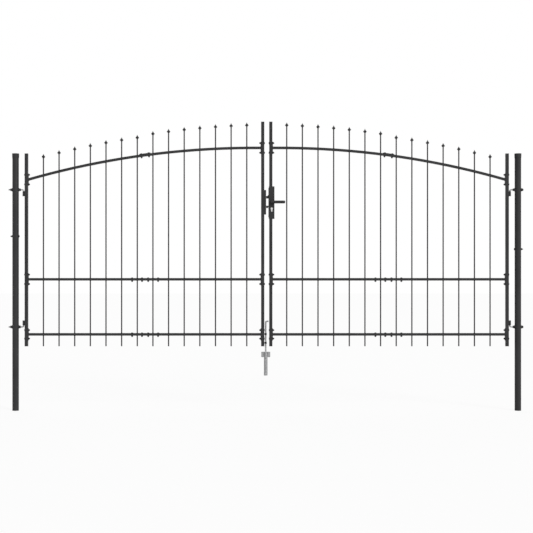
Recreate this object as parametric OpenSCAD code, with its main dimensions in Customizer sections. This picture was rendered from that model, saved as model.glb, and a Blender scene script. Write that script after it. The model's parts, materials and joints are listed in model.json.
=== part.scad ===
// Double-leaf driveway gate of black powder-coated tubular steel, with its two posts,
// hook-bolt hinges, mortice lock with levers, keeper, drop bolt and ground socket.
// Millimetres. Origin: centre of the left post's bottom face. +X to the right post, +Z up,
// the side seen in the picture is -Y.

/* [Overall] */
// distance between the two post axes
post_span = 3910; // [3600:10:4200]
// height of both leaves' undersides above the post bottoms
leaf_z = 500; // [440:5:600]
// height of a hinge stile with its end plugs
hinge_stile_h = 1500; // [1450:5:1600]
// height of a lock stile with its end plugs
lock_stile_h = 1747; // [1700:1:1850]
// clear gap between the two lock stiles
meeting_gap = 38; // [36:0.5:44]
// clear gap between a post and its hinge stile
hinge_gap = 47; // [46:0.5:60]

/* [Posts] */
// outside diameter of a post tube
post_d = 50; // [46:0.5:54]
// wall of a post tube
post_wall = 1.5; // [1.2:0.1:2.5]
// height of a post's cap above the hinge stile's top
post_over = 0; // [-50:5:100]
// height of the seam between a post's two lengths, above the leaf's underside
seam_rise = 470; // [400:5:600]
// chamfer of the two tube ends at the seam
seam_bevel = 0.8; // [0.5:0.1:1.1]
// length of the swaged spigot inside the upper length
spigot_h = 120; // [80:5:200]
// height of the cap's skirt
cap_skirt = 36; // [20:1:50]
// thickness of the cap's crown
cap_crown = 3; // [2:0.5:5]
// overhang of the cap's crown beyond the tube
cap_flare = 2; // [1.2:0.1:3]

/* [Leaf frames] */
// side of a square stile tube
stile_w = 25; // [22:0.5:30]
// wall of stile and rail tubes
tube_wall = 1.5; // [1.2:0.1:2]
// corner radius of stile and rail tubes
tube_r = 2.2; // [2:0.1:3]
// side of a square rail tube
rail_w = 20; // [18:0.5:22]
// height of the bottom rail above the leaf's underside
low_rail_rise = 92.5; // [80:0.5:110]
// height of the middle rail above the leaf's underside
mid_rail_rise = 521; // [450:1:600]
// depth of the arch's crown below the lock stile's top
crown_below = 203; // [190:1:240]
// drop of the arched rail from its crown to the hinge stile
arch_drop = 247; // [200:1:300]
// distance of the crown from the gate's centre line
crown_offset = 95; // [80:1:120]
// length of the sleeves inside the straight rails' splices
sleeve_l = 240; // [220:5:260]
// wall of the sleeves inside the rails' splices
sleeve_wall = 2; // [1.5:0.1:2.5]
// thickness of the plates at the rail ends
plate_t = 4; // [3:0.5:6]
// height of the plates at the rail ends
plate_h = 95; // [88:1:110]
// corner radius of the plates at the rail ends
plate_r = 3; // [1:0.5:6]
// thickness of the heads of the tube end plugs
plug_t = 2.5; // [2:0.5:4]
// depth of the end plugs inside the tubes
plug_depth = 14; // [10:1:20]

/* [Bars] */
// diameter of a bar
bar_d = 10; // [8:0.5:12]
// bars in each half panel
half_bars = 7; // [5:1:8]
// from the lock stile's axis to the nearest bar
first_bar = 124; // [110:1:140]
// from the hinge stile's axis to the nearest bar
last_bar = 132; // [110:1:150]
// tip above the arched rail at the bar nearest the lock stile
tip_first = 200; // [180:1:215]
// tip above the arched rail at the inner panel's last bar
tip_mid = 182; // [170:1:200]
// tip above the arched rail in the outer panel
tip_outer = 168; // [150:1:180]
// height of a spear head
spear_h = 34; // [30:1:40]
// greatest width of a spear head
spear_w = 29; // [24:0.5:32]
// height of a spear head's widest place above its neck
spear_waist = 10.5; // [9:0.5:13]
// thickness of a spear head at its ridge
spear_t = 8.4; // [7:0.2:9.6]

/* [Hinges] */
// diameter of a hook bolt
hook_d = 10; // [8:0.5:11]
// outside diameter of a hinge barrel
barrel_d = 18; // [17:0.5:20]
// height of a hinge barrel
barrel_h = 38; // [30:1:50]
// depth of the top hook bolt below the hinge stile's top
top_hook_below = 282; // [260:1:320]
// height of the bottom hook bolt above the leaf's underside
low_hook_rise = 150.5; // [140:0.5:170]
// radial play of a hook's pin in its barrel
pin_play = 0.25; // [0.1:0.05:0.4]
// tail of the left hook bolts beyond the post
left_tail = 29; // [24:1:45]
// tail of the right hook bolts beyond the post
right_tail = 18; // [17:1:45]
// diameter of a saddle washer
saddle_d = 26; // [24:0.5:30]
// thickness of a saddle washer beyond the post
saddle_t = 3.5; // [2.5:0.5:5]
// width of a hook bolt's nut over its flats
hook_nut = 17.75; // [17:0.25:19]
// height of a hook bolt's nut
hook_nut_h = 12; // [8:0.5:13]

/* [Lock] */
// height of the lock case's underside above the leaf's underside
case_rise = 991.5; // [980:0.5:1020]
// height of the lock case
case_h = 252; // [240:1:270]
// width of the lock case across the leaf
case_w = 44; // [42:0.5:50]
// depth of the lock case from front to rear
case_d = 32; // [30:0.5:40]
// wall of the lock case
case_wall = 2; // [1.5:0.1:3]
// corner radius of the lock case
case_r = 2.5; // [1.5:0.1:3]
// distance of the forend plate's ends from the lock case's ends
forend_in = 11; // [8:0.5:16]
// width of the lock's forend plate
forend_w = 24; // [20:0.5:26]
// thickness of the lock's forend plate
forend_t = 3; // [2:0.5:4]
// thickness of the lock's two bolts
bolt_t = 12; // [10:0.5:12]
// reach of the lever from its spindle
lever_reach = 105; // [90:1:130]
// height of the lever's grip
lever_h = 18; // [14:0.5:20]
// thickness of the lever's grip
lever_t = 12; // [9:0.5:14]
// distance of the lever's grip from the lock case
lever_out = 28; // [24:0.5:40]
// reach of the keeper from its stile
keeper_w = 14; // [12:0.5:15]
// bend radius of the keeper's plate
keeper_r = 3; // [2:0.5:4]
// thickness of the keeper's plate
keeper_t = 2.5; // [2:0.25:3]
// height of the keeper
keeper_h = 190; // [180:1:210]
// gap between the lock's bolts and the keeper
bolt_gap = 0.6; // [0.5:0.1:2]

/* [Drop bolt] */
// diameter of the drop bolt
drop_d = 12; // [10:0.5:12]
// distance of the drop bolt's axis from its stile
drop_out = 11; // [9.5:0.5:12]
// height of a guide eye
guide_h = 15; // [12:1:20]
// wall of a guide eye
guide_wall = 1.8; // [1.5:0.1:2.5]
// height of the drop bolt's handle above the leaf's underside
drop_handle_rise = 194; // [190:1:230]
// height of the socket's mouth above the post bottoms
socket_z = 457; // [400:1:460]
// length of the ground socket
socket_h = 184; // [150:1:250]
// outside diameter of the ground socket
socket_d = 28; // [26:0.5:34]
// wall of the ground socket
socket_wall = 3; // [2:0.25:4]
// thickness of the ground socket's wings
wings_t = 4; // [3:0.5:6]
// width over the ground socket's wings
wings_w = 70; // [60:1:90]
// height of the ground socket's wings
wings_h = 42; // [30:1:60]
// corner radius of the ground socket's wings
wings_r = 4; // [2:0.5:8]

/* [Hidden] */
fit = 0.3;
centre_x = post_span / 2;
hinge_u = centre_x - post_d / 2 - hinge_gap - stile_w / 2;
lock_u = meeting_gap / 2 + stile_w / 2;
pin_u = hinge_u + stile_w / 2 + barrel_d / 2;
hinge_top = leaf_z + hinge_stile_h;
lock_top = leaf_z + lock_stile_h;
post_h = hinge_top + post_over;
seam_z = leaf_z + seam_rise;
low_z = leaf_z + low_rail_rise;
mid_z = leaf_z + mid_rail_rise;
rail_in = lock_u + stile_w / 2;
rail_out = hinge_u - stile_w / 2;
bar_total = 2 * half_bars;
bar_first = lock_u + first_bar;
bar_pitch = (hinge_u - last_bar - bar_first) / (bar_total - 1);
splice_u = bar_first + (half_bars - 0.5) * bar_pitch;
crown_z = lock_top - crown_below;
arch_half = rail_out - crown_offset;
arch_r = (arch_half * arch_half + arch_drop * arch_drop) / (2 * arch_drop);
arch_cz = crown_z - arch_r;
top_hook_z = hinge_top - top_hook_below;
low_hook_z = leaf_z + low_hook_rise;
hook_bend = hook_d / 2 + 6.5;
barrel_lift = hook_bend + 0.5;
pin_h = barrel_h - 1.5;
nut_reach = saddle_t - 0.5 + hook_nut_h;
case_z = leaf_z + case_rise;
case_u = lock_u - stile_w / 2 - 3;
forend_u = case_u - forend_t;
forend_h = case_h - 2 * forend_in;
case_mid = case_z + case_h / 2;
spindle_u = case_u + case_w / 2 + 1;
spindle_z = case_mid + 5.5;
latch_z = spindle_z + 37;
dead_z = spindle_z - 38;
cylinder_z = spindle_z - 60;
bolt_tip = keeper_w + bolt_gap - meeting_gap / 2;
keeper_z = (latch_z + dead_z) / 2 - keeper_h / 2 - 2;
drop_u = meeting_gap / 2 - drop_out;
drop_handle_z = leaf_z + drop_handle_rise;
drop_bend = drop_d / 2 + 4;
drop_foot = socket_z + 3;
guide_high = leaf_z + 95;
guide_low = leaf_z + 26;
// heights of the latch below and above its axis, with its shoulder inside the case
latch_down = 10;
latch_up = 9;
latch_shoulder = 20;
// half height of the dead bolt, and length of both bolts inside the case
dead_half = 9;
bolt_in = 14;
bolt_play = 0.4;
// standard sizes: profile cylinder, lever rose and square spindle
profile_d = 17;
profile_leg = 10;
profile_h = 33;
rose_d = 28;
rose_t = 4.5;
spindle_w = 8;
lever_gap = 0.6;
black = [0.05, 0.05, 0.055];
zinc = [0.6, 0.61, 0.62];
plastic = [0.03, 0.03, 0.03];
nickel = [0.75, 0.74, 0.7];

// height of the arched rail's axis at a distance from the gate's centre line
function arch_z(u) = arch_cz + sqrt(arch_r * arch_r - (u - crown_offset) * (u - crown_offset));
// angle of a point of the arch, from +X towards +Z
function arch_angle(u) = 90 - asin((u - crown_offset) / arch_r);
// distance of a bar from the gate's centre line
function bar_u(k) = bar_first + k * bar_pitch;
// rise of a bar's tip above the arched rail
function tip_rise(k) = k < half_bars
  ? tip_first + (tip_mid - tip_first) * k / (half_bars - 1)
  : tip_outer;

// a leaf is drawn to the right of the centre line, and mirrored for the left
module right_side() {
  translate([centre_x, 0, 0]) children();
}

module left_side() {
  translate([centre_x, 0, 0]) mirror([1, 0, 0]) children();
}

// rectangle with rounded corners
module soft_rect(w, d, r, sides = 32) {
  square([w, d - 2 * r], center = true);
  square([w - 2 * r, d], center = true);
  for (sx = [-1, 1], sy = [-1, 1])
    translate([sx * (w / 2 - r), sy * (d / 2 - r)]) circle(r = r, $fn = sides);
}

// square with rounded corners
module soft_square(w, r, sides = 32) {
  soft_rect(w, w, r, sides);
}

// section of a square tube; an arched tube has three narrow flats at each corner
module tube_section(w, sides = 32) {
  difference() {
    soft_square(w, tube_r, sides);
    square(w - 2 * tube_wall, center = true);
  }
}

// post: lower length with a swaged spigot
module post_lower() {
  ro = post_d / 2;
  rs = ro - post_wall - fit;
  difference() {
    rotate_extrude($fn = 96)
      polygon([[ro - post_wall, 0], [ro, 0], [ro, seam_z - seam_bevel], [ro - seam_bevel, seam_z],
        [rs, seam_z], [rs, seam_z + spigot_h], [rs - post_wall, seam_z + spigot_h],
        [rs - post_wall, seam_z - 6], [ro - post_wall, seam_z - 12]]);
    translate([0, 0, low_hook_z]) rotate([0, 90, 0])
      cylinder(d = hook_d + 2 * fit, h = 2 * post_d, center = true, $fn = 48);
  }
}

// post: upper length
module post_upper() {
  ro = post_d / 2;
  top = post_h - cap_crown;
  difference() {
    rotate_extrude($fn = 96)
      polygon([[ro - post_wall, seam_z], [ro - seam_bevel, seam_z], [ro, seam_z + seam_bevel], [ro, top],
        [ro - post_wall, top]]);
    translate([0, 0, top_hook_z]) rotate([0, 90, 0])
      cylinder(d = hook_d + 2 * fit, h = 2 * post_d, center = true, $fn = 48);
  }
}

// flared cap with a skirt over the tube
module post_cap() {
  ri = post_d / 2 + 0.2;
  ro = post_d / 2 + cap_flare;
  translate([0, 0, post_h]) rotate_extrude($fn = 96)
    polygon([[0, 0], [ro - 1.2, 0], [ro, -1.2], [ro, -9],
      [ri + 0.8, -cap_skirt], [ri, -cap_skirt], [ri, -cap_crown], [0, -cap_crown]]);
}

// hook bolt: rod through the post, quarter bend and pin; up = 1 for a pin that rises
module hook_bolt(z, up, tail) {
  reach = centre_x + post_d / 2 + tail;
  bend_u = pin_u + hook_bend;
  translate([bend_u, 0, z]) rotate([0, 90, 0]) cylinder(d = hook_d, h = reach - bend_u, $fn = 48);
  translate([bend_u, 0, z + up * hook_bend]) rotate([90, up > 0 ? 180 : -90, 0])
    rotate_extrude(angle = 90, $fn = 96)
      translate([hook_bend, 0]) circle(d = hook_d, $fn = 48);
  translate([pin_u, 0, up > 0 ? z + hook_bend : z - hook_bend - pin_h])
    cylinder(d = hook_d, h = pin_h, $fn = 48);
}

// hexagon nut with bevelled corners
module hex_nut(flats, h) {
  d = 2 * flats / sqrt(3);
  intersection() {
    cylinder(d = d, h = h, $fn = 6);
    rotate_extrude($fn = 64)
      polygon([[0, 0], [flats / 2, 0], [d / 2, 0.06 * d], [d / 2, h - 0.06 * d],
        [flats / 2, h], [0, h]]);
  }
}

// saddle washer and nut on each side of the post
module hook_nuts_at(z) {
  for (s = [-1, 1])
    translate([centre_x, 0, z]) rotate([0, s * 90, 0]) difference() {
      union() {
        translate([0, 0, post_d / 2 - 5]) cylinder(d = saddle_d, h = 5 + saddle_t, $fn = 64);
        translate([0, 0, post_d / 2 + nut_reach - hook_nut_h]) hex_nut(hook_nut, hook_nut_h);
      }
      cylinder(d = hook_d + fit, h = post_d + 2 * nut_reach, $fn = 48);
      rotate([0, 90, 0]) cylinder(d = post_d + 2 * fit, h = 2 * saddle_d, center = true, $fn = 96);
    }
}

// plain square tube stile between its plugs
module hinge_stile() {
  translate([hinge_u, 0, leaf_z + plug_t]) linear_extrude(hinge_stile_h - 2 * plug_t)
    tube_section(stile_w);
}

// the passive leaf's lock stile is one length
module plain_lock_stile() {
  translate([lock_u, 0, leaf_z + plug_t]) linear_extrude(lock_stile_h - 2 * plug_t)
    tube_section(stile_w);
}

// the active leaf's lock stile is in two lengths, below and above the lock case
module split_lock_stile() {
  translate([lock_u, 0, leaf_z + plug_t]) linear_extrude(case_z - leaf_z - plug_t)
    tube_section(stile_w);
  translate([lock_u, 0, case_z + case_h]) linear_extrude(lock_top - plug_t - case_z - case_h)
    tube_section(stile_w);
}

// plug with a head, pushed into a tube end; up = 1 at the top
module plug(u, z, up) {
  w = stile_w - 2 * tube_wall - 2 * fit;
  translate([u, 0, up > 0 ? z - plug_t : z]) linear_extrude(plug_t) soft_square(stile_w, tube_r);
  translate([u, 0, up > 0 ? z - plug_t - plug_depth : z + plug_t]) linear_extrude(plug_depth)
    soft_square(w, 1);
}

module stile_plugs() {
  plug(hinge_u, leaf_z, -1);
  plug(hinge_u, hinge_top, 1);
  plug(lock_u, leaf_z, -1);
  plug(lock_u, lock_top, 1);
}

// barrels welded to the hinge stile's outer face
module hinge_barrels() {
  for (z = [low_hook_z + barrel_lift, top_hook_z - barrel_lift - barrel_h])
    translate([pin_u, 0, z]) difference() {
      union() {
        cylinder(d = barrel_d, h = barrel_h, $fn = 64);
        translate([-barrel_d / 2, -5, 0]) cube([barrel_d / 2, 10, barrel_h]);
      }
      translate([0, 0, -1]) cylinder(d = hook_d + 2 * pin_play, h = barrel_h + 2, $fn = 48);
    }
}

// half width of a spear head at a height above its neck: straight flanks below the waist,
// hollow flanks above it
function spear_half(z) = z < spear_waist
  ? bar_d / 2 + (spear_w / 2 - bar_d / 2) * z / spear_waist
  : 0.4 + (spear_w / 2 - 0.4) * pow((spear_h - z) / (spear_h - spear_waist), 1.6);

// spear head: a hollow-flanked front outline and a tapered side outline, bevelled to a ridge
module spear() {
  flank = concat([0], [for (i = [0 : 8]) spear_waist + (spear_h - spear_waist) * i / 8]);
  front = [for (z = flank) [spear_half(z), z]];
  rear = [for (i = [len(flank) - 1 : -1 : 0]) [-front[i].x, front[i].y]];
  spread = 0.85 * spear_w;
  tip_t = 0.2 * spear_t;
  intersection() {
    rotate([90, 0, 0]) linear_extrude(2 * bar_d, center = true) polygon(concat(front, rear));
    rotate([90, 0, 90]) linear_extrude(2 * spear_w, center = true)
      polygon([[bar_d / 2, 0], [spear_t / 2, spear_waist], [tip_t / 2, spear_h],
        [-tip_t / 2, spear_h], [-spear_t / 2, spear_waist], [-bar_d / 2, 0]]);
    linear_extrude(spear_h)
      polygon([[spread, 0], [0, bar_d / 2], [-spread, 0], [0, -bar_d / 2]]);
  }
}

// one bar with its spear head
module bar(k) {
  neck = arch_z(bar_u(k)) + tip_rise(k) - spear_h;
  translate([bar_u(k), 0, leaf_z]) cylinder(d = bar_d, h = neck + 1 - leaf_z, $fn = 32);
  translate([bar_u(k), 0, neck]) spear();
}

// straight rail tube between two distances
module rail(u0, u1, z) {
  translate([u0, 0, z]) rotate([90, 0, 90]) linear_extrude(u1 - u0) tube_section(rail_w);
}

// section swept along the arch between two angles
module arch(a0, a1) {
  translate([crown_offset, 0, arch_cz]) rotate([90, 0, 0]) rotate([0, 0, a0])
    rotate_extrude(angle = a1 - a0, $fn = 2400)
      translate([arch_r, 0]) children();
}

// plates at the rail ends
module end_plates(u, z_top) {
  for (z = [low_z, mid_z, z_top])
    translate([u, 0, z]) rotate([90, 0, 90]) linear_extrude(plate_t)
      soft_rect(stile_w - 2, plate_h, plate_r);
}

// half panel next to the lock stile
module inner_panel() {
  u0 = rail_in + plate_t - 1;
  u1 = splice_u - 0.1;
  rail(u0, u1, low_z);
  rail(u0, u1, mid_z);
  arch(arch_angle(u1), arch_angle(u0)) tube_section(rail_w, 12);
  end_plates(rail_in, arch_z(rail_in));
  for (k = [0 : half_bars - 1]) bar(k);
}

// half panel next to the hinge stile
module outer_panel() {
  u0 = splice_u + 0.1;
  u1 = rail_out - plate_t + 1;
  rail(u0, u1, low_z);
  rail(u0, u1, mid_z);
  intersection() {
    arch(arch_angle(u1 + 10), arch_angle(u0)) tube_section(rail_w, 12);
    translate([u0 - 50, -rail_w, crown_z - 2 * arch_drop])
      cube([u1 - u0 + 50, 2 * rail_w, 3 * arch_drop]);
  }
  end_plates(rail_out - plate_t, arch_z(rail_out));
  for (k = [half_bars : bar_total - 1]) bar(k);
}

// section of a sleeve that fits inside a rail
module sleeve_section() {
  w = rail_w - 2 * tube_wall - 2 * fit;
  difference() {
    soft_square(w, 1);
    square(w - 2 * sleeve_wall, center = true);
  }
}

// sleeve inside a straight rail's splice, slotted from its ends to pass the bars
module rail_sleeve(z) {
  slot = bar_d + 1;
  near = bar_pitch / 2 - slot / 2;
  translate([splice_u, 0, z]) difference() {
    rotate([90, 0, 90]) linear_extrude(sleeve_l, center = true) sleeve_section();
    for (s = [-1, 1])
      translate([s * (near + sleeve_l / 2), 0, 0]) cube([sleeve_l, slot, rail_w], center = true);
  }
}

// sleeves that join the two half panels; the arched one is short, between the bars
module rail_sleeves() {
  half = bar_pitch / 2 - bar_d;
  rail_sleeve(low_z);
  rail_sleeve(mid_z);
  arch(arch_angle(splice_u + half), arch_angle(splice_u - half)) sleeve_section();
}

// bent plate with a slot for each of the lock's bolts
module keeper_body() {
  t = keeper_t;
  d = stile_w - 2;
  x0 = meeting_gap / 2 - keeper_w;
  slot_w = bolt_t + 1;
  slot_h = 26;
  translate([0, 0, keeper_z]) difference() {
    intersection() {
      translate([x0 + keeper_w, 0, 0]) linear_extrude(keeper_h)
        soft_rect(2 * keeper_w, d, keeper_r);
      translate([x0, -stile_w, -1]) cube([keeper_w, 2 * stile_w, keeper_h + 2]);
    }
    translate([x0 + t, t - d / 2, -1]) cube([keeper_w, d - 2 * t, keeper_h + 2]);
    for (z = [latch_z, dead_z])
      translate([x0 - 1, -slot_w / 2, z - slot_h / 2 - keeper_z]) cube([t + 2, slot_w, slot_h]);
  }
}

// eyes that guide the drop bolt
module guides() {
  for (z = [guide_low, guide_high])
    translate([drop_u, 0, z - guide_h / 2]) difference() {
      union() {
        cylinder(d = drop_d + 2 * fit + 2 * guide_wall, h = guide_h, $fn = 64);
        translate([0, -drop_d / 2, guide_h / 4]) cube([drop_out, drop_d, guide_h / 2]);
      }
      translate([0, 0, -1]) cylinder(d = drop_d + 2 * fit, h = guide_h + 2, $fn = 64);
    }
}

// drop bolt with a chamfered foot and a bent handle
module drop_rod() {
  straight = drop_handle_z - drop_bend;
  bevel = 2;
  translate([drop_u, 0, drop_foot + bevel])
    cylinder(d = drop_d, h = straight - drop_foot - bevel, $fn = 48);
  translate([drop_u, 0, drop_foot])
    cylinder(d1 = drop_d - 1.5 * bevel, d2 = drop_d, h = bevel, $fn = 48);
  translate([drop_u - drop_bend, 0, straight]) rotate([90, 0, 0])
    rotate_extrude(angle = 90, $fn = 96)
      translate([drop_bend, 0]) circle(d = drop_d, $fn = 48);
  translate([drop_u - drop_bend, 0, drop_handle_z]) rotate([0, -90, 0])
    cylinder(d = drop_d, h = meeting_gap / 2 - 4 + drop_u - drop_bend, $fn = 48);
}

// tube with two wings, set in the ground
module socket() {
  translate([drop_u, 0, socket_z - socket_h]) difference() {
    union() {
      cylinder(d = socket_d, h = socket_h, $fn = 64);
      translate([0, 0, socket_h - wings_h / 2]) rotate([90, 0, 0])
        linear_extrude(wings_t, center = true) soft_rect(wings_w, wings_h, wings_r);
    }
    translate([0, 0, -1]) cylinder(d = socket_d - 2 * socket_wall, h = socket_h + 2, $fn = 64);
  }
}

// outline of a profile cylinder, grown by a fit
module cylinder_profile(grow) {
  top = profile_h / 2 - profile_d / 2;
  foot = -profile_h / 2 + profile_leg / 2;
  translate([0, top]) circle(d = profile_d + 2 * grow, $fn = 64);
  translate([-profile_leg / 2 - grow, foot]) square([profile_leg + 2 * grow, top - foot]);
  translate([0, foot]) circle(d = profile_leg + 2 * grow, $fn = 64);
}

// openings of the latch and the dead bolt through a wall at the gap
module bolt_openings(u, t) {
  w = bolt_t + 2 * bolt_play;
  translate([u - 1, -w / 2, latch_z - latch_down - bolt_play])
    cube([t + 2, w, latch_down + latch_shoulder + 2 * bolt_play]);
  translate([u - 1, -w / 2, dead_z - dead_half - bolt_play])
    cube([t + 2, w, 2 * dead_half + 2 * bolt_play]);
}

// welded lock box with its bolt, spindle and cylinder openings
module case_body() {
  w = case_wall;
  difference() {
    translate([case_u + case_w / 2, 0, case_z]) linear_extrude(case_h) soft_rect(case_w, case_d, case_r);
    translate([case_u + w, w - case_d / 2, case_z + w])
      cube([case_w - 2 * w, case_d - 2 * w, case_h - 2 * w]);
    bolt_openings(case_u, w);
    translate([spindle_u, 0, spindle_z]) rotate([90, 0, 0])
      cylinder(d = spindle_w * sqrt(2) + 5 * fit, h = 2 * case_d, center = true, $fn = 48);
    translate([spindle_u, 0, cylinder_z]) rotate([90, 0, 0]) linear_extrude(2 * case_d, center = true)
      cylinder_profile(fit);
  }
}

// the mortice lock's forend plate on the case's face at the gap
module forend_plate() {
  difference() {
    translate([forend_u, 0, case_mid]) rotate([90, 0, 90]) linear_extrude(forend_t)
      soft_rect(forend_w, forend_h, forend_w / 4);
    bolt_openings(forend_u, forend_t);
  }
}

// profile cylinder with a round plug and a key slot on each face
module cylinder_body() {
  d = case_d + 5;
  slot_w = 2.4;
  slot_h = profile_d / 2;
  plug_d = 0.78 * profile_d;
  groove = 0.5;
  plug_z = cylinder_z + profile_h / 2 - profile_d / 2;
  difference() {
    translate([spindle_u, 0, cylinder_z]) rotate([90, 0, 0]) linear_extrude(d, center = true)
      cylinder_profile(0);
    for (s = [-1, 1]) {
      translate([spindle_u - slot_w / 2, s * d / 2 - 2, plug_z - slot_h / 2]) cube([slot_w, 4, slot_h]);
      translate([spindle_u, s * d / 2, plug_z]) rotate([90, 0, 0])
        linear_extrude(2 * groove, center = true) difference() {
          circle(d = plug_d + 2 * groove, $fn = 64);
          circle(d = plug_d, $fn = 64);
        }
    }
  }
}

// section of the lever's grip, its height along Y
module grip_section() {
  square([lever_t, lever_h - lever_t], center = true);
  for (sy = [-1, 1])
    translate([0, sy * (lever_h - lever_t) / 2]) circle(d = lever_t, $fn = 48);
}

// lever handle with a rose, a neck and a grip whose end returns to the gate; s = -1 in front
module lever(s) {
  bend = lever_t;
  turn = lever_reach - bend - lever_t / 2;
  front = lever_out + lever_t / 2;
  back = 7;
  hub = lever_h / 2;
  neck = hub - 1;
  translate([spindle_u, 0, spindle_z]) rotate([s < 0 ? 90 : -90, 0, 0])
    translate([0, 0, case_d / 2 + lever_gap]) {
      rotate_extrude($fn = 64)
        polygon([[0, 0], [rose_d / 2, 0], [rose_d / 2, rose_t - 1.5], [rose_d / 2 - 1.5, rose_t],
          [neck, rose_t], [neck, front - 9], [hub, front - 7], [hub, front - 2],
          [hub - 2, front], [0, front]]);
      translate([0, 0, lever_out]) rotate([0, 90, 0]) linear_extrude(turn) grip_section();
      translate([turn, 0, lever_out - bend]) rotate([90, 0, 0]) rotate_extrude(angle = 90, $fn = 96)
        translate([bend, 0]) grip_section();
      translate([turn + bend, 0, lever_out - bend - back]) linear_extrude(back) grip_section();
    }
}

// square spindle between the two hubs
module spindle() {
  d = case_d + 2 * lever_gap;
  translate([spindle_u - spindle_w / 2, -d / 2, spindle_z - spindle_w / 2])
    cube([spindle_w, d, spindle_w]);
}

// spring latch with a sloped shoulder
module latch() {
  back = case_u + bolt_in;
  translate([0, 0, latch_z]) rotate([90, 0, 0]) linear_extrude(bolt_t, center = true)
    polygon([[bolt_tip, -latch_down], [back, -latch_down], [back, latch_shoulder],
      [case_u - 2, latch_shoulder], [case_u - 11, latch_up], [bolt_tip, latch_up]]);
}

// dead bolt, stepped behind so that it passes over the cylinder
module dead() {
  back = case_u + bolt_in - 1;
  step = case_u - 5;
  translate([0, 0, dead_z]) rotate([90, 0, 0]) linear_extrude(bolt_t, center = true)
    polygon([[bolt_tip, -dead_half], [step, -dead_half], [step, 1], [back, 1],
      [back, dead_half], [bolt_tip, dead_half]]);
}

module left_post_lower() {
  color(black) post_lower();
}

module left_post_upper() {
  color(black) post_upper();
}

module left_post_cap() {
  color(plastic) post_cap();
}

module right_post_lower() {
  color(black) translate([post_span, 0, 0]) post_lower();
}

module right_post_upper() {
  color(black) translate([post_span, 0, 0]) post_upper();
}

module right_post_cap() {
  color(plastic) translate([post_span, 0, 0]) post_cap();
}

module left_top_hook() {
  color(zinc) left_side() hook_bolt(top_hook_z, -1, left_tail);
}

module left_low_hook() {
  color(zinc) left_side() hook_bolt(low_hook_z, 1, left_tail);
}

module left_hook_nuts() {
  color(black) left_side() {
    hook_nuts_at(top_hook_z);
    hook_nuts_at(low_hook_z);
  }
}

module right_top_hook() {
  color(zinc) right_side() hook_bolt(top_hook_z, -1, right_tail);
}

module right_low_hook() {
  color(zinc) right_side() hook_bolt(low_hook_z, 1, right_tail);
}

module right_hook_nuts() {
  color(black) right_side() {
    hook_nuts_at(top_hook_z);
    hook_nuts_at(low_hook_z);
  }
}

module ground_socket() {
  color(zinc) left_side() socket();
}

module left_hinge_stile() {
  color(black) left_side() hinge_stile();
}

module left_hinge_barrels() {
  color(black) left_side() hinge_barrels();
}

module left_lock_stile() {
  color(black) left_side() plain_lock_stile();
}

module left_stile_plugs() {
  color(plastic) left_side() stile_plugs();
}

module left_outer_panel() {
  color(black) left_side() outer_panel();
}

module left_inner_panel() {
  color(black) left_side() inner_panel();
}

module left_rail_sleeves() {
  color(black) left_side() rail_sleeves();
}

module keeper() {
  color(black) left_side() keeper_body();
}

module drop_bolt_guides() {
  color(black) left_side() guides();
}

module drop_bolt() {
  color(zinc) left_side() drop_rod();
}

module right_hinge_stile() {
  color(black) right_side() hinge_stile();
}

module right_hinge_barrels() {
  color(black) right_side() hinge_barrels();
}

module right_lock_stile() {
  color(black) right_side() split_lock_stile();
}

module right_stile_plugs() {
  color(plastic) right_side() stile_plugs();
}

module right_outer_panel() {
  color(black) right_side() outer_panel();
}

module right_inner_panel() {
  color(black) right_side() inner_panel();
}

module right_rail_sleeves() {
  color(black) right_side() rail_sleeves();
}

module lock_case() {
  color(black) right_side() case_body();
}

module lock_forend() {
  color(black) right_side() forend_plate();
}

module lock_cylinder() {
  color(nickel) right_side() cylinder_body();
}

module front_lever() {
  color(plastic) right_side() lever(-1);
}

module rear_lever() {
  color(plastic) right_side() lever(1);
}

module lever_spindle() {
  color(zinc) right_side() spindle();
}

module latch_bolt() {
  color(black) right_side() latch();
}

module dead_bolt() {
  color(black) right_side() dead();
}

left_post_lower();
left_post_upper();
left_post_cap();
right_post_lower();
right_post_upper();
right_post_cap();
left_top_hook();
left_low_hook();
left_hook_nuts();
right_top_hook();
right_low_hook();
right_hook_nuts();
ground_socket();
left_hinge_stile();
left_hinge_barrels();
left_lock_stile();
left_stile_plugs();
left_outer_panel();
left_inner_panel();
left_rail_sleeves();
keeper();
drop_bolt_guides();
drop_bolt();
right_hinge_stile();
right_hinge_barrels();
right_lock_stile();
right_stile_plugs();
right_outer_panel();
right_inner_panel();
right_rail_sleeves();
lock_case();
lock_forend();
lock_cylinder();
front_lever();
rear_lever();
lever_spindle();
latch_bolt();
dead_bolt();
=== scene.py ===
"""Looks of the driveway gate: finishes, bolts, straps, threads, weld beads, studio and camera. Metres."""

import json
import math
import random

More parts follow.
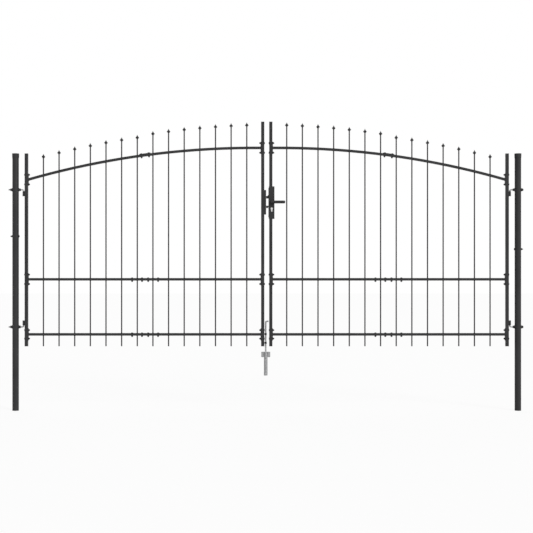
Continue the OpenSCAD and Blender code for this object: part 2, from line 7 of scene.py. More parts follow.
import bmesh
import bpy
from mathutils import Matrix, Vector

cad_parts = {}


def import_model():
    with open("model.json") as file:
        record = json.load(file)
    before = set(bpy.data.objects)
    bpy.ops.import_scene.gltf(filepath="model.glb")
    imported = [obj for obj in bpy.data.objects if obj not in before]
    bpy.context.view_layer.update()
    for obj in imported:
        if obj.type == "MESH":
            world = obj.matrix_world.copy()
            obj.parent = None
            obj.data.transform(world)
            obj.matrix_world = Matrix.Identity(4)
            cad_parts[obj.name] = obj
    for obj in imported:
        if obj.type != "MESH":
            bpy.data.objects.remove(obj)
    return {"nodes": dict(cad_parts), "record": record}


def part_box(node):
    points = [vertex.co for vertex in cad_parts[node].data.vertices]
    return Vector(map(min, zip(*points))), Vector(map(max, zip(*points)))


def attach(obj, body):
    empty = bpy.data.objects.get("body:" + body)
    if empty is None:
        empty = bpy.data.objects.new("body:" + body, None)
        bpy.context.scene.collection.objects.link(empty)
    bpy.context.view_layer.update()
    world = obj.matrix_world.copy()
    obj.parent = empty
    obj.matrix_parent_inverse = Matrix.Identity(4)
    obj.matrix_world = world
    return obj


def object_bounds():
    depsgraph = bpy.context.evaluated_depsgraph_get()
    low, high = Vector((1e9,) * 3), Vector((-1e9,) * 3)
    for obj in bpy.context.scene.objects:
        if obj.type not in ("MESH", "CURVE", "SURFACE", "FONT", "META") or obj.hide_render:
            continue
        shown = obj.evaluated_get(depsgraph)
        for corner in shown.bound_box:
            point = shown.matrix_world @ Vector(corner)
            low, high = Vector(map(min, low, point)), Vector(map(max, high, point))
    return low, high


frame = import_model()
nodes = frame["nodes"]
cad_low, cad_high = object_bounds()

MM = 0.001
X, Y, Z = Vector((1, 0, 0)), Vector((0, 1, 0)), Vector((0, 0, 1))
SIDES = {"left": -1, "right": 1}

# edges that bend more than this are shown sharp
SHARP = math.radians(38)

# bolts of the leaves; a low head clears the drop bolt's handle
BOLT_D = 8 * MM
BOLT_PITCH = 1.25 * MM
NUT_FLATS = 13 * MM
NUT_H = 6.5 * MM
WASHER_D = 17 * MM
WASHER_H = 1.6 * MM
HEAD_D = 18 * MM
SPLICE_HEAD_D = 16.2 * MM
HEAD_H = 5 * MM
LOW_HEAD_H = 3 * MM
THREAD_END = 3 * MM

# places of the bolts, from the photograph
PLATE_SPACING = {"low": 66 * MM, "mid": 73 * MM, "top": 75 * MM}
SPLICE_NEAR = 24 * MM
SPLICE_FAR = 101 * MM
ARCH_SPLICE = 29 * MM

# straps over the splices of the arched rails
STRAP_L = 88 * MM
STRAP_W = 18 * MM
STRAP_T = 4 * MM
STRAP_BEVEL = 0.6 * MM
STRAP_SEAT_IN = 0.3 * MM
STRAP_STEPS = 8

# through bolts of the posts, sunk a little because the post is round
POST_HEAD_D = 21 * MM
POST_HEAD_H = 7.5 * MM
POST_WASHER_H = 3.2 * MM
POST_BOLT_END = 7 * MM
POST_SEAT_IN = 1.4 * MM
LEFT_POST_BOLT_Z = 1.356
RIGHT_POST_BOLT_Z = 1.256

# screws of the lock's forend
SCREW_D = 9 * MM
SCREW_H = 0.5 * MM
SCREW_IN = 13 * MM

# hook bolt threads
HOOK_PITCH = 1.5 * MM
HOOK_NUT_REACH = 15 * MM
HOOK_CREST = 0.35 * MM
HOOK_INNER_THREAD = 8 * MM

# leaf sizes that the frame's boxes don't give
LOW_RAIL_RISE = 92.5 * MM
MID_RAIL_RISE = 521 * MM
CROWN_BELOW = 203 * MM
ARCH_DROP = 247 * MM
CROWN_OFFSET = 95 * MM
RAIL_W = 20 * MM
RAIL_CORNER = 2.2 * MM
BAR_R = 5 * MM
PLATE_T = 4 * MM
BARREL_H = 38 * MM
GUIDE_H = 15 * MM
FIRST_BAR = 124 * MM
LAST_BAR = 132 * MM
HALF_BARS = 7
SPEAR_H = 34 * MM
TIP_FIRST = 200 * MM
TIP_MID = 182 * MM
TIP_OUTER = 168 * MM

# weld beads: radius, sides, points to a ripple, and the shares by which beads swell and shrink
BEAD_R = 1.5 * MM
NECK_BEAD_R = 0.9 * MM
BARREL_BEAD_R = 1.95 * MM
WING_BEAD_R = 1.8 * MM
BEAD_SIDES = 10
BEAD_STEPS = 3
BEAD_SCALE = 0.2
BEAD_END = 0.55
PUDDLE_LOW = 0.94
PUDDLE_HIGH = 1.06
RIPPLE = 2.2 * MM

# places of the beads: how far an axis lies outside its surface, and where straight ones start and end
BAR_BEAD_OUT = 0.4 * MM
ARCH_BEAD_OUT = 0.5 * MM
STILE_BEAD_OUT = 0.6 * MM
KEEPER_BEAD_OUT = 0.3 * MM
WING_BEAD_OUT = 0.2 * MM
BARREL_BEAD_Y = 5.6 * MM
BARREL_BEAD_IN = 2 * MM
KEEPER_BEADS = ((20 * MM, 60 * MM), (130 * MM, 170 * MM))
GUIDE_BEAD_Y = 6.2 * MM
GUIDE_BEAD_SPAN = (0.25, 0.75)
WING_BEAD_Y = 2.6 * MM
WING_BEAD_TOP = 3 * MM
WING_BEAD_LOW = 39 * MM

# studio: the floor's side, gap under the posts, tone and share of plain white, and the level of the sky
FLOOR_SIZE = 80.0
FLOOR_GAP = 0.5 * MM
FLOOR_TONE = 0.86
FLOOR_WHITE = 0.88
WORLD_LIGHT = 0.4

# lamps: direction of the light, strength, and width in degrees
LAMPS = {
    "key": (Vector((-0.6, 0.75, -0.5)), 2.3, 18),
    "back": (Vector((0.2, -0.6, -0.6)), 0.8, 40),
}

# camera, from the photograph
FRAME_PX = 533
MM_PER_PX = 7.785
CENTRE_COLUMN = 266.75
FOOT_ROW = 410.45
CAMERA_DISTANCE = 9.2
SENSOR_MM = 36
CLIP_END = 200


def middle(node):
    """Centre of a CAD node's box."""
    low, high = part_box(node)
    return (low + high) / 2


# measures taken from the frame; u is the distance from the gate's centre line
left_post, right_post = middle("left_post_upper"), middle("right_post_upper")
centre_x = (left_post.x + right_post.x) / 2
post_r = (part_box("left_post_upper")[1].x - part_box("left_post_upper")[0].x) / 2
hinge_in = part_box("right_hinge_stile")[0].x - centre_x
hinge_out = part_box("right_hinge_stile")[1].x - centre_x
lock_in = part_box("right_lock_stile")[0].x - centre_x
lock_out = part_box("right_lock_stile")[1].x - centre_x
leaf_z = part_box("right_stile_plugs")[0].z
lock_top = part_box("right_stile_plugs")[1].z
low_z = leaf_z + LOW_RAIL_RISE
mid_z = leaf_z + MID_RAIL_RISE
crown_z = lock_top - CROWN_BELOW
arch_half = hinge_in - CROWN_OFFSET
arch_r = (arch_half**2 + ARCH_DROP**2) / (2 * ARCH_DROP)
bar_first = (lock_in + lock_out) / 2 + FIRST_BAR
bar_last = (hinge_in + hinge_out) / 2 - LAST_BAR
bar_pitch = (bar_last - bar_first) / (2 * HALF_BARS - 1)
splice_u = bar_first + (HALF_BARS - 0.5) * bar_pitch


def arch_tilt(u):
    """Slope of the arched rail at u, as an angle; positive falls outwards."""
    return math.asin((u - CROWN_OFFSET) / arch_r)


def arch_z(u):
    """Height of the arched rail's axis at u."""
    return crown_z - arch_r * (1 - math.cos(arch_tilt(u)))


def spear_neck(k):
    """Height of the neck of a bar's spear head, with the bars counted from the lock stile."""
    inner_rise = TIP_FIRST + (TIP_MID - TIP_FIRST) * k / (HALF_BARS - 1)
    rise = inner_rise if k < HALF_BARS else TIP_OUTER
    return arch_z(bar_first + k * bar_pitch) + rise - SPEAR_H


def place(side, u, y, z):
    """Point of a leaf, from its distance to the centre line."""
    return Vector((centre_x + SIDES[side] * u, y, z))


def arch_up(side, u):
    """Unit vector square to a leaf's arched rail at u, upwards."""
    tilt = arch_tilt(u)
    return X * (SIDES[side] * math.sin(tilt)) + Z * math.cos(tilt)


# mesh helpers


def basis(axis):
    """Two unit vectors square to an axis."""
    axis = axis.normalized()
    side = axis.cross(Y if abs(axis.y) < 0.9 else X).normalized()
    return side, axis.cross(side)


def lathe(bm, at, axis, profile, sides=32, turn=0.0, dip=None):
    """Revolves (radius, height) pairs about an axis.

    A radius of 0 is a pole, and dip(radius, angle) lowers a point.
    """
    axis = axis.normalized()
    a, b = basis(axis)
    rings = []
    for r, h in profile:
        if r == 0:
            rings.append([bm.verts.new(at + axis * h)])
            continue
        ring = []
        for i in range(sides):
            t = turn + 2 * math.pi * i / sides
            rise = h - dip(r, t) if dip else h
            ring.append(bm.verts.new(at + axis * rise + (a * math.cos(t) + b * math.sin(t)) * r))
        rings.append(ring)
    for low, high in zip(rings, rings[1:]):
        for i in range(sides):
            j = (i + 1) % sides
            corners = [low[i % len(low)], low[j % len(low)], high[j % len(high)], high[i % len(high)]]
            unique = list(dict.fromkeys(corners))
            if len(unique) > 2:
                bm.faces.new(unique)


def hex_nut(bm, at, axis, flats, height, turn=0.0):
    """Hexagon with bevelled ends, open at neither side."""
    r = flats / math.sqrt(3)
    bevel = 0.07 * flats
    lathe(
        bm,
        at,
        axis,
        [(0, 0), (r - bevel, 0), (r, bevel / 2), (r, height - bevel / 2), (r - bevel, height), (0, height)],
        sides=6,
        turn=turn,
    )


def washer(bm, at, axis, d, height):
    """Flat washer."""
    r, e = d / 2, 0.25 * height
    lathe(bm, at, axis, [(0, 0), (r - e, 0), (r, e), (r, height - e), (r - e, height), (0, height)], sides=36)


def dome_head(bm, at, axis, d, height):
    """Low domed head of a carriage bolt."""
    r = d / 2
    rim = 0.25 * height
    steps = 6
    arc = [
        (r * math.cos(t), rim + (height - rim) * math.sin(t))
        for t in (k / steps * math.pi / 2 for k in range(steps))
    ]
    lathe(bm, at, axis, [(0, 0), (0.96 * r, 0), *arc, (0, height)], sides=36)


def cross_head(bm, at, axis, d, height):
    """Flat screw head with a cross recess."""
    r = d / 2
    depth = 0.35 * r

    def recess(radius, t):
        in_arm = abs(math.remainder(t, math.pi / 2)) < math.radians(16)
        return depth if in_arm and radius < 0.56 * r else 0

    profile = [
        (0, 0), (r, 0), (r, 0.5 * height), (0.92 * r, height), (0.6 * r, height),
        (0.54 * r, height), (0.2 * r, height), (0.14 * r, height - depth), (0, height - depth),
    ]
    lathe(bm, at, axis, profile, sides=48, dip=recess)


def thread(bm, at, axis, crest, pitch, length):
    """Threaded stretch with a bevelled end."""
    root = crest - 0.6 * pitch
    profile = [(0, 0)]
    turns = max(1, int(length / pitch))
    for k in range(turns):
        profile += [(root, k * pitch), (crest, (k + 0.45) * pitch), (crest, (k + 0.55) * pitch)]
    profile += [(root, turns * pitch), (0.75 * root, length), (0, length)]
    lathe(bm, at, axis, profile, sides=28)


def bead(bm, path, normal, radius, closed, rng):
    """Weld bead along a path that runs square to a normal, with one ripple to each BEAD_STEPS points."""
    count = len(path)
    rings = []
    puddle = 1.0
    for i, p in enumerate(path):
        before = path[i - 1] if closed or i else p
        after = path[(i + 1) % count] if closed or i + 1 < count else p
        out = (after - before).cross(normal).normalized()
        phase = i % BEAD_STEPS / BEAD_STEPS
        if phase == 0:
            puddle = rng.uniform(PUDDLE_LOW, PUDDLE_HIGH)
        swell = radius * puddle * (1 - BEAD_SCALE * phase)
        if not closed and i in (0, count - 1):
            swell *= BEAD_END
        ring = []
        for k in range(BEAD_SIDES):
            t = 2 * math.pi * k / BEAD_SIDES
            ring.append(bm.verts.new(p + (normal * math.cos(t) + out * math.sin(t)) * swell))
        rings.append(ring)
    spans = count if closed else count - 1
    for i in range(spans):
        low, high = rings[i], rings[(i + 1) % count]
        for k in range(BEAD_SIDES):
            m = (k + 1) % BEAD_SIDES
            bm.faces.new([low[k], low[m], high[m], high[k]])
    if not closed:
        bm.faces.new(list(reversed(rings[0])))
        bm.faces.new(rings[-1])


def straight_bead(bm, start, end, normal, radius, rng):
    """Weld bead from start to end."""
    count = max(2, BEAD_STEPS * round((end - start).length / RIPPLE) + 1)
    path = [start.lerp(end, i / (count - 1)) for i in range(count)]
    bead(bm, path, normal, radius, False, rng)


def ring_bead(bm, at, axis, ring_r, radius, rng):
    """Weld bead round a bar."""
    a, b = basis(axis)
    count = BEAD_STEPS * round(2 * math.pi * ring_r / RIPPLE)
    angles = [2 * math.pi * i / count for i in range(count)]
    path = [at + (a * math.cos(t) + b * math.sin(t)) * ring_r for t in angles]
    bead(bm, path, axis, radius, True, rng)


def square_bead(bm, at, axis, width, corner, rng):
    """Weld bead round a square tube that runs along an axis in XZ."""
    up = axis.cross(Y)
    half = width / 2
    flat = half - corner
    on_flat = BEAD_STEPS * (round(width / RIPPLE) - 1)
    path = []
    for k in range(4):
        turn = k * math.pi / 2
        side = []
        for i in range(on_flat):
            side.append((half, (2 * (i + 0.5) / on_flat - 1) * flat))
        for i in range(BEAD_STEPS):
            t = (i + 0.5) / BEAD_STEPS * math.pi / 2
            side.append((flat + corner * math.cos(t), flat + corner * math.sin(t)))
        for p, q in side:
            y = p * math.cos(turn) - q * math.sin(turn)
            z = p * math.sin(turn) + q * math.cos(turn)
            path.append(at + Y * y + up * z)
    bead(bm, path, axis, BEAD_R, True, rng)


def finish_piece(bm, name, body, material):
    """Turns a bmesh into a shown piece that rides on a body."""
    bmesh.ops.recalc_face_normals(bm, faces=bm.faces)
    for e in bm.edges:
        e.smooth = len(e.link_faces) == 2 and e.calc_face_angle(0) < SHARP
    for f in bm.faces:
        f.smooth = True
    mesh = bpy.data.meshes.new(name)
    bm.to_mesh(mesh)
    bm.free()
    obj = bpy.data.objects.new(name, mesh)
    bpy.context.scene.collection.objects.link(obj)
    mesh.materials.append(material)
    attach(obj, body)


# materials


class Shader:
    """A material with its node tree at hand."""

    def __init__(self, name):
        self.material = bpy.data.materials.new(name)
        self.material.use_nodes = True
        self.tree = self.material.node_tree
        self.bsdf = self.tree.nodes["Principled BSDF"]
        self.coords = self.tree.nodes.new("ShaderNodeTexCoord").outputs["Object"]

    def node(self, kind, **values):
        """Adds a node and sets its inputs."""
        made = self.tree.nodes.new(kind)
        for key, value in values.items():
            made.inputs[key].default_value = value
        return made

    def link(self, source, target):
        self.tree.links.new(source, target)

    def noise(self, scale, detail):
        made = self.node("ShaderNodeTexNoise", Scale=scale, Detail=detail)
        self.link(self.coords, made.inputs["Vector"])
        return made.outputs["Fac"]

    def cells(self, scale):
        made = self.node("ShaderNodeTexVoronoi", Scale=scale)
        self.link(self.coords, made.inputs["Vector"])
        return made.outputs["Color"]

    def ramp(self, source, low, high, start=0.35, end=0.65):
        """Maps a texture to a span of greys or colours."""
        made = self.node("ShaderNodeValToRGB")
        made.color_ramp.elements[0].position = start
        made.color_ramp.elements[1].position = end
        made.color_ramp.elements[0].color = (*low, 1)
        made.color_ramp.elements[1].color = (*high, 1)
        self.link(source, made.inputs["Fac"])
        return made.outputs["Color"]

    def span(self, source, low, high):
        """Maps a texture to a span of numbers."""
        made = self.node("ShaderNodeMapRange")
        made.inputs["From Min"].default_value = 0.3
        made.inputs["From Max"].default_value = 0.7
        made.inputs["To Min"].default_value = low
        made.inputs["To Max"].default_value = high
        self.link(source, made.inputs["Value"])
        return made.outputs["Result"]

    def bump(self, source, distance, strength):
        """Raises a texture from the surface by a distance."""
        made = self.node("ShaderNodeBump", Strength=strength, Distance=distance)
        self.link(source, made.inputs["Height"])
        return made.outputs["Normal"]


def powder_coat():
    """Satin black powder coat: fine orange peel, slow changes of roughness and tone."""
    s = Shader("powder_coat")
    patches = s.noise(scale=5.0, detail=3.0)
    tone = s.ramp(patches, low=(0.025, 0.025, 0.0257), high=(0.032, 0.032, 0.0328))
    s.link(tone, s.bsdf.inputs["Base Color"])
    roughness = s.span(s.noise(scale=9.0, detail=4.0), low=0.33, high=0.46)
    s.link(roughness, s.bsdf.inputs["Roughness"])
    peel = s.bump(s.noise(scale=620.0, detail=2.0), distance=0.09 * MM, strength=0.6)
    s.link(peel, s.bsdf.inputs["Normal"])
    s.bsdf.inputs["Specular IOR Level"].default_value = 0.15
    return s.material


def black_plastic():
    """Moulded black plastic with a fine spark-eroded grain."""
    s = Shader("black_plastic")
    patches = s.noise(scale=14.0, detail=3.0)
    tone = s.ramp(patches, low=(0.022, 0.022, 0.0226), high=(0.028, 0.028, 0.0287))
    s.link(tone, s.bsdf.inputs["Base Color"])
    roughness = s.span(s.noise(scale=40.0, detail=4.0), low=0.5, high=0.62)
    s.link(roughness, s.bsdf.inputs["Roughness"])
    s.bsdf.inputs["Specular IOR Level"].default_value = 0.2
    grain = s.bump(s.noise(scale=1500.0, detail=3.0), distance=0.08 * MM, strength=0.7)
    s.link(grain, s.bsdf.inputs["Normal"])
    return s.material


def zinc():
    """Galvanised steel with spangles and dull patches."""
    s = Shader("zinc")
    spangle = s.node("ShaderNodeRGBToBW")
    s.link(s.cells(scale=160.0), spangle.inputs["Color"])
    dull, bright = (0.25, 0.252, 0.255), (0.35, 0.352, 0.355)
    tone = s.ramp(spangle.outputs["Val"], low=dull, high=bright, start=0.2, end=0.8)
    s.link(tone, s.bsdf.inputs["Base Color"])
    s.bsdf.inputs["Metallic"].default_value = 0.75
    roughness = s.span(s.noise(scale=60.0, detail=4.0), low=0.4, high=0.58)
    s.link(roughness, s.bsdf.inputs["Roughness"])
    grain = s.bump(s.noise(scale=700.0, detail=3.0), distance=0.06 * MM, strength=0.6)
    s.link(grain, s.bsdf.inputs["Normal"])
    return s.material


def nickel():
    """Satin nickel of the cylinder, with a fine grain."""
    s = Shader("nickel")
    patches = s.noise(scale=90.0, detail=3.0)
    tone = s.ramp(patches, low=(0.6, 0.597, 0.588), high=(0.7, 0.697, 0.688))
    s.link(tone, s.bsdf.inputs["Base Color"])
    s.bsdf.inputs["Metallic"].default_value = 1.0
    roughness = s.span(s.noise(scale=300.0, detail=3.0), low=0.26, high=0.36)
    s.link(roughness, s.bsdf.inputs["Roughness"])
    grain = s.bump(s.noise(scale=2500.0, detail=2.0), distance=0.03 * MM, strength=0.5)
    s.link(grain, s.bsdf.inputs["Normal"])
    return s.material


FINISH = {
    "powder_coat": powder_coat(),
    "black_plastic": black_plastic(),
    "zinc": zinc(),
    "nickel": nickel(),
}
slot_of = {p["node"]: p["material_slot"] for p in frame["record"]["subparts"]}
for name, node in nodes.items():
    node.data.materials.clear()
    node.data.materials.append(FINISH[slot_of[name]])


# bolts and straps


def stile_bolt(bm, side, head_u, nut_u, z, head_h):
    """Carriage bolt through a stile: domed head on one face, washer, nut and thread on the other."""
    way = SIDES[side] * (1 if nut_u > head_u else -1)
    axis = X * way
    dome_head(bm, place(side, head_u, 0, z), -axis, HEAD_D, head_h)
    at = place(side, nut_u, 0, z)
    washer(bm, at, axis, WASHER_D, WASHER_H)
    hex_nut(bm, at + axis * WASHER_H, axis, NUT_FLATS, NUT_H, turn=0.3)
    thread(bm, at + axis * (WASHER_H + NUT_H), axis, BOLT_D / 2, BOLT_PITCH, THREAD_END)


def splice_bolt(bm, at, up, strap=0.0):
    """Bolt down through a rail and any strap on it: domed head on top, washer, nut and thread below."""
    dome_head(bm, at + up * (RAIL_W / 2 + strap), up, SPLICE_HEAD_D, HEAD_H)
    low = at - up * RAIL_W / 2
    washer(bm, low, -up, WASHER_D, WASHER_H)
    hex_nut(bm, low - up * WASHER_H, -up, NUT_FLATS, NUT_H, turn=0.2)
    thread(bm, low - up * (WASHER_H + NUT_H), -up, BOLT_D / 2, BOLT_PITCH, THREAD_END)


def leaf_bolts(side):
    """Every bolt of one leaf."""
    bm = bmesh.new()
    for head_u, nut_u, top_u in (
        (hinge_out, hinge_in - PLATE_T, hinge_in),
        (lock_in, lock_out + PLATE_T, lock_out),
    ):
        for rail, z in (("low", low_z), ("mid", mid_z), ("top", arch_z(top_u))):
            for s in (-0.5, 0.5):
                by_drop_bolt = rail == "low" and head_u == lock_in
                head_h = LOW_HEAD_H if by_drop_bolt else HEAD_H
                stile_bolt(bm, side, head_u, nut_u, z + s * PLATE_SPACING[rail], head_h)
    for z in (low_z, mid_z):
        for offset in (-SPLICE_FAR, -SPLICE_NEAR, SPLICE_NEAR, SPLICE_FAR):
            splice_bolt(bm, place(side, splice_u + offset, 0, z), Z)
    for offset in (-ARCH_SPLICE, ARCH_SPLICE):
        u = splice_u + offset
        splice_bolt(bm, place(side, u, 0, arch_z(u)), arch_up(side, u), STRAP_T)
    finish_piece(bm, f"{side}_leaf_bolts", f"{side}_leaf", FINISH["powder_coat"])


def arch_strap(side):
    """Flat strap on top of a leaf's arched rail, over its splice and under the bolt heads."""
    bm = bmesh.new()
    low = RAIL_W / 2 - STRAP_SEAT_IN
    high = RAIL_W / 2 + STRAP_T
    near = splice_u - STRAP_L / 2
    far = splice_u + STRAP_L / 2
    half = STRAP_W / 2
    step = (STRAP_L - 2 * STRAP_BEVEL) / STRAP_STEPS
    inner = [near + STRAP_BEVEL + k * step for k in range(STRAP_STEPS + 1)]
    rings = []
    for u in (near, *inner, far):
        top = high - STRAP_BEVEL if u in (near, far) else high
        section = [
            (-half, low), (half, low), (half, top - STRAP_BEVEL), (half - STRAP_BEVEL, top),
            (STRAP_BEVEL - half, top), (-half, top - STRAP_BEVEL),
        ]
        axis = place(side, u, 0, arch_z(u))
        rings.append([bm.verts.new(axis + Y * y + arch_up(side, u) * rise) for y, rise in section])
    for before, after in zip(rings, rings[1:]):
        for i in range(len(before)):
            bm.faces.new([before[i - 1], before[i], after[i], after[i - 1]])
    bm.faces.new(rings[0])
    bm.faces.new(rings[-1])
    finish_piece(bm, f"{side}_arch_strap", f"{side}_leaf", FINISH["powder_coat"])


def post_bolts():
    """Carriage bolt through each post: domed head towards the gate, washer, nut and thread outside."""
    bm = bmesh.new()
    for post, z, out in ((left_post, LEFT_POST_BOLT_Z, -X), (right_post, RIGHT_POST_BOLT_Z, X)):
        centre = Vector((post.x, 0, z))
        seat = post_r - POST_SEAT_IN
        dome_head(bm, centre - out * seat, -out, POST_HEAD_D, POST_HEAD_H)
        washer(bm, centre + out * seat, out, WASHER_D, POST_WASHER_H)
        nut = centre + out * (seat + POST_WASHER_H)
        hex_nut(bm, nut, out, NUT_FLATS, NUT_H, turn=0.1)
        thread(bm, nut + out * NUT_H, out, BOLT_D / 2, BOLT_PITCH, POST_BOLT_END)
    finish_piece(bm, "post_bolts", "posts", FINISH["powder_coat"])


def forend_screws():
    """Two screws that hold the lock's forend to its case."""
    bm = bmesh.new()
    low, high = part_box("lock_forend")
    for z in (low.z + SCREW_IN, high.z - SCREW_IN):
        cross_head(bm, Vector((low.x, 0, z)), -X, SCREW_D, SCREW_H)
    finish_piece(bm, "forend_screws", "right_leaf", FINISH["zinc"])


def hook_threads():
    """Thread on the hook bolts: outside the outer nut, and from the inner nut towards the bend."""
    bm = bmesh.new()
    for side in SIDES:
        out = X * SIDES[side]
        post = left_post if side == "left" else right_post
        for hook in ("top_hook", "low_hook"):
            low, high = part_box(f"{side}_{hook}")
            top = hook == "top_hook"
            rod_r = (high.y - low.y) / 2
            z = high.z - rod_r if top else low.z + rod_r
            tail = high.x - post.x if side == "right" else post.x - low.x
            start = post_r + HOOK_NUT_REACH - HOOK_PITCH
            crest = rod_r + HOOK_CREST
            thread(bm, Vector((post.x, 0, z)) + out * start, out, crest, HOOK_PITCH, tail - start)
            thread(bm, Vector((post.x, 0, z)) - out * start, -out, crest, HOOK_PITCH, HOOK_INNER_THREAD)
    finish_piece(bm, "hook_threads", "posts", FINISH["zinc"])


# welds


def leaf_welds(side):
    """Beads at the bars' crossings, the spears' necks, the rails' ends and the hinge barrels."""
    rng = random.Random(side)
    bm = bmesh.new()
    half = RAIL_W / 2
    for k in range(2 * HALF_BARS):
        u = bar_first + k * bar_pitch
        for z in (low_z, mid_z):
            for s in (-1, 1):
                ring_bead(bm, place(side, u, 0, z + s * half), Z, BAR_R + BAR_BEAD_OUT, BEAD_R, rng)
        for s in (-1, 1):
            at = place(side, u, 0, arch_z(u) + s * half / math.cos(arch_tilt(u)))
            ring_bead(bm, at, arch_up(side, u), BAR_R + ARCH_BEAD_OUT, BEAD_R, rng)
        ring_bead(bm, place(side, u, 0, spear_neck(k)), Z, BAR_R, NECK_BEAD_R, rng)
    for face_u, rail_u in ((lock_out + PLATE_T, lock_out), (hinge_in - PLATE_T, hinge_in)):
        for z in (low_z, mid_z, arch_z(rail_u)):
            square_bead(bm, place(side, face_u, 0, z), X, RAIL_W, RAIL_CORNER, rng)
    low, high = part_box(f"{side}_hinge_barrels")
    for z in (low.z, high.z - BARREL_H):
        for s in (-1, 1):
            start = place(side, hinge_out + STILE_BEAD_OUT, s * BARREL_BEAD_Y, z + BARREL_BEAD_IN)
            end = start + Z * (BARREL_H - 2 * BARREL_BEAD_IN)
            straight_bead(bm, start, end, X, BARREL_BEAD_R, rng)
    finish_piece(bm, f"{side}_leaf_welds", f"{side}_leaf", FINISH["powder_coat"])


def fitting_welds():
    """Beads at the keeper, the guide eyes, the lock case and the ground socket's wings."""
    rng = random.Random("fittings")
    bm = bmesh.new()
    low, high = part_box("keeper")
    x = low.x + STILE_BEAD_OUT
    for y in (low.y - KEEPER_BEAD_OUT, high.y + KEEPER_BEAD_OUT):
        for span in KEEPER_BEADS:
            ends = [Vector((x, y, low.z + z)) for z in span]
            straight_bead(bm, *ends, X, BEAD_R, rng)
    low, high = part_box("drop_bolt_guides")
    x = low.x + STILE_BEAD_OUT
    for z in (low.z, high.z - GUIDE_H):
        for s in (-1, 1):
            ends = [Vector((x, s * GUIDE_BEAD_Y, z + e * GUIDE_H)) for e in GUIDE_BEAD_SPAN]
            straight_bead(bm, *ends, X, BEAD_R, rng)
    finish_piece(bm, "left_fitting_welds", "left_leaf", FINISH["powder_coat"])

    bm = bmesh.new()
    low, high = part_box("lock_case")
    stile_u = (lock_in + lock_out) / 2
    width = lock_out - lock_in
    for z in (low.z, high.z):
        square_bead(bm, place("right", stile_u, 0, z), Z, width, RAIL_CORNER, rng)
    finish_piece(bm, "right_fitting_welds", "right_leaf", FINISH["powder_coat"])

    bm = bmesh.new()
    low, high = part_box("ground_socket")
    centre = (low + high) / 2
    tube_r = (high.y - low.y) / 2
    for sx in (-1, 1):
        for sy in (-1, 1):
            at = Vector((centre.x + sx * (tube_r + WING_BEAD_OUT), sy * WING_BEAD_Y, high.z))
            straight_bead(bm, at - Z * WING_BEAD_TOP, at - Z * WING_BEAD_LOW, X, WING_BEAD_R, rng)
    finish_piece(bm, "socket_welds", "posts", FINISH["zinc"])


for side in SIDES:
    leaf_bolts(side)
    arch_strap(side)
    leaf_welds(side)
post_bolts()
forend_screws()
hook_threads()
fitting_welds()


# studio


def white_for_sight(tree, lit, strength):
    """Mixes a lit shader with plain white for camera, glossy and transmission rays."""
    path = tree.nodes.new("ShaderNodeLightPath")
    seen = path.outputs["Is Camera Ray"]
    for ray in ("Is Glossy Ray", "Is Transmission Ray"):
        most = tree.nodes.new("ShaderNodeMath")
        most.operation = "MAXIMUM"
        tree.links.new(seen, most.inputs[0])
        tree.links.new(path.outputs[ray], most.inputs[1])
        seen = most.outputs[0]
    share = tree.nodes.new("ShaderNodeMath")
    share.operation = "MULTIPLY"
    share.inputs[1].default_value = strength
    tree.links.new(seen, share.inputs[0])
    white = tree.nodes.new("ShaderNodeEmission")
    white.inputs["Color"].default_value = (1, 1, 1, 1)
    mix = tree.nodes.new("ShaderNodeMixShader")
    tree.links.new(share.outputs[0], mix.inputs["Fac"])
    tree.links.new(lit, mix.inputs[1])
    tree.links.new(white.outputs[0], mix.inputs[2])
    return mix.outputs[0]


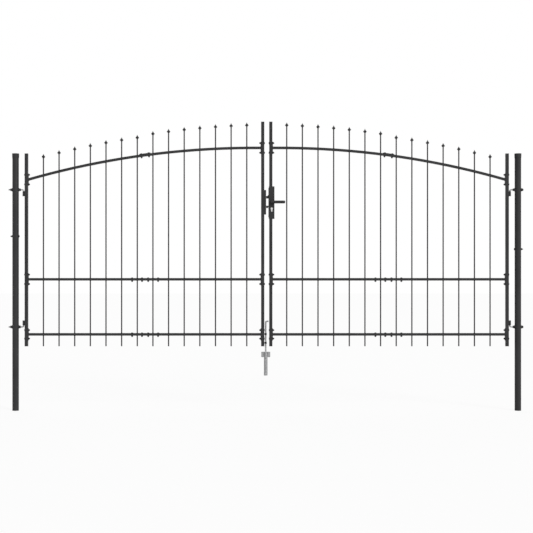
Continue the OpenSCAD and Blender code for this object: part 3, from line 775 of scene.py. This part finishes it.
def floor():
    """Pale floor under the posts, white to the camera but for a faint shadow."""
    bm = bmesh.new()
    bmesh.ops.create_grid(bm, x_segments=1, y_segments=1, size=FLOOR_SIZE / 2)
    mesh = bpy.data.meshes.new("floor")
    bm.to_mesh(mesh)
    bm.free()
    obj = bpy.data.objects.new("floor", mesh)
    bpy.context.scene.collection.objects.link(obj)
    obj.location = (centre_x, 0, cad_low.z - FLOOR_GAP)
    material = bpy.data.materials.new("floor")
    material.use_nodes = True
    tree = material.node_tree
    bsdf = tree.nodes["Principled BSDF"]
    bsdf.inputs["Base Color"].default_value = (FLOOR_TONE, FLOOR_TONE, FLOOR_TONE, 1)
    bsdf.inputs["Roughness"].default_value = 0.9
    bsdf.inputs["Specular IOR Level"].default_value = 0.1
    sight = white_for_sight(tree, bsdf.outputs[0], FLOOR_WHITE)
    tree.links.new(sight, tree.nodes["Material Output"].inputs["Surface"])
    mesh.materials.append(material)


def world():
    """Even white surroundings."""
    made = bpy.data.worlds.new("studio")
    bpy.context.scene.world = made
    made.use_nodes = True
    tree = made.node_tree
    light = tree.nodes["Background"]
    light.inputs["Color"].default_value = (1, 1, 1, 1)
    light.inputs["Strength"].default_value = WORLD_LIGHT
    sight = white_for_sight(tree, light.outputs[0], 1.0)
    tree.links.new(sight, tree.nodes["World Output"].inputs["Surface"])


def sun(name, towards, strength, spread):
    """Distant soft lamp; spread is its width in degrees."""
    lamp = bpy.data.lights.new(name, "SUN")
    lamp.energy = strength
    lamp.angle = math.radians(spread)
    obj = bpy.data.objects.new(name, lamp)
    bpy.context.scene.collection.objects.link(obj)
    obj.rotation_mode = "QUATERNION"
    obj.rotation_quaternion = towards.to_track_quat("-Z", "Y")


def camera():
    """Level camera in front of the gate, with the photograph's framing."""
    px = MM_PER_PX * MM
    data = bpy.data.cameras.new("camera")
    data.sensor_fit = "HORIZONTAL"
    data.sensor_width = SENSOR_MM
    data.lens = data.sensor_width * CAMERA_DISTANCE / (FRAME_PX * px)
    data.clip_end = CLIP_END
    obj = bpy.data.objects.new("camera", data)
    bpy.context.scene.collection.objects.link(obj)
    across = centre_x + (FRAME_PX / 2 - CENTRE_COLUMN) * px
    height = cad_low.z + (FOOT_ROW - FRAME_PX / 2) * px
    obj.location = (across, -CAMERA_DISTANCE, height)
    obj.rotation_euler = (math.pi / 2, 0, 0)
    bpy.context.scene.camera = obj


floor()
world()
for name, (towards, strength, spread) in LAMPS.items():
    sun(name, towards, strength, spread)
camera()
bpy.context.scene.view_settings.view_transform = "Standard"
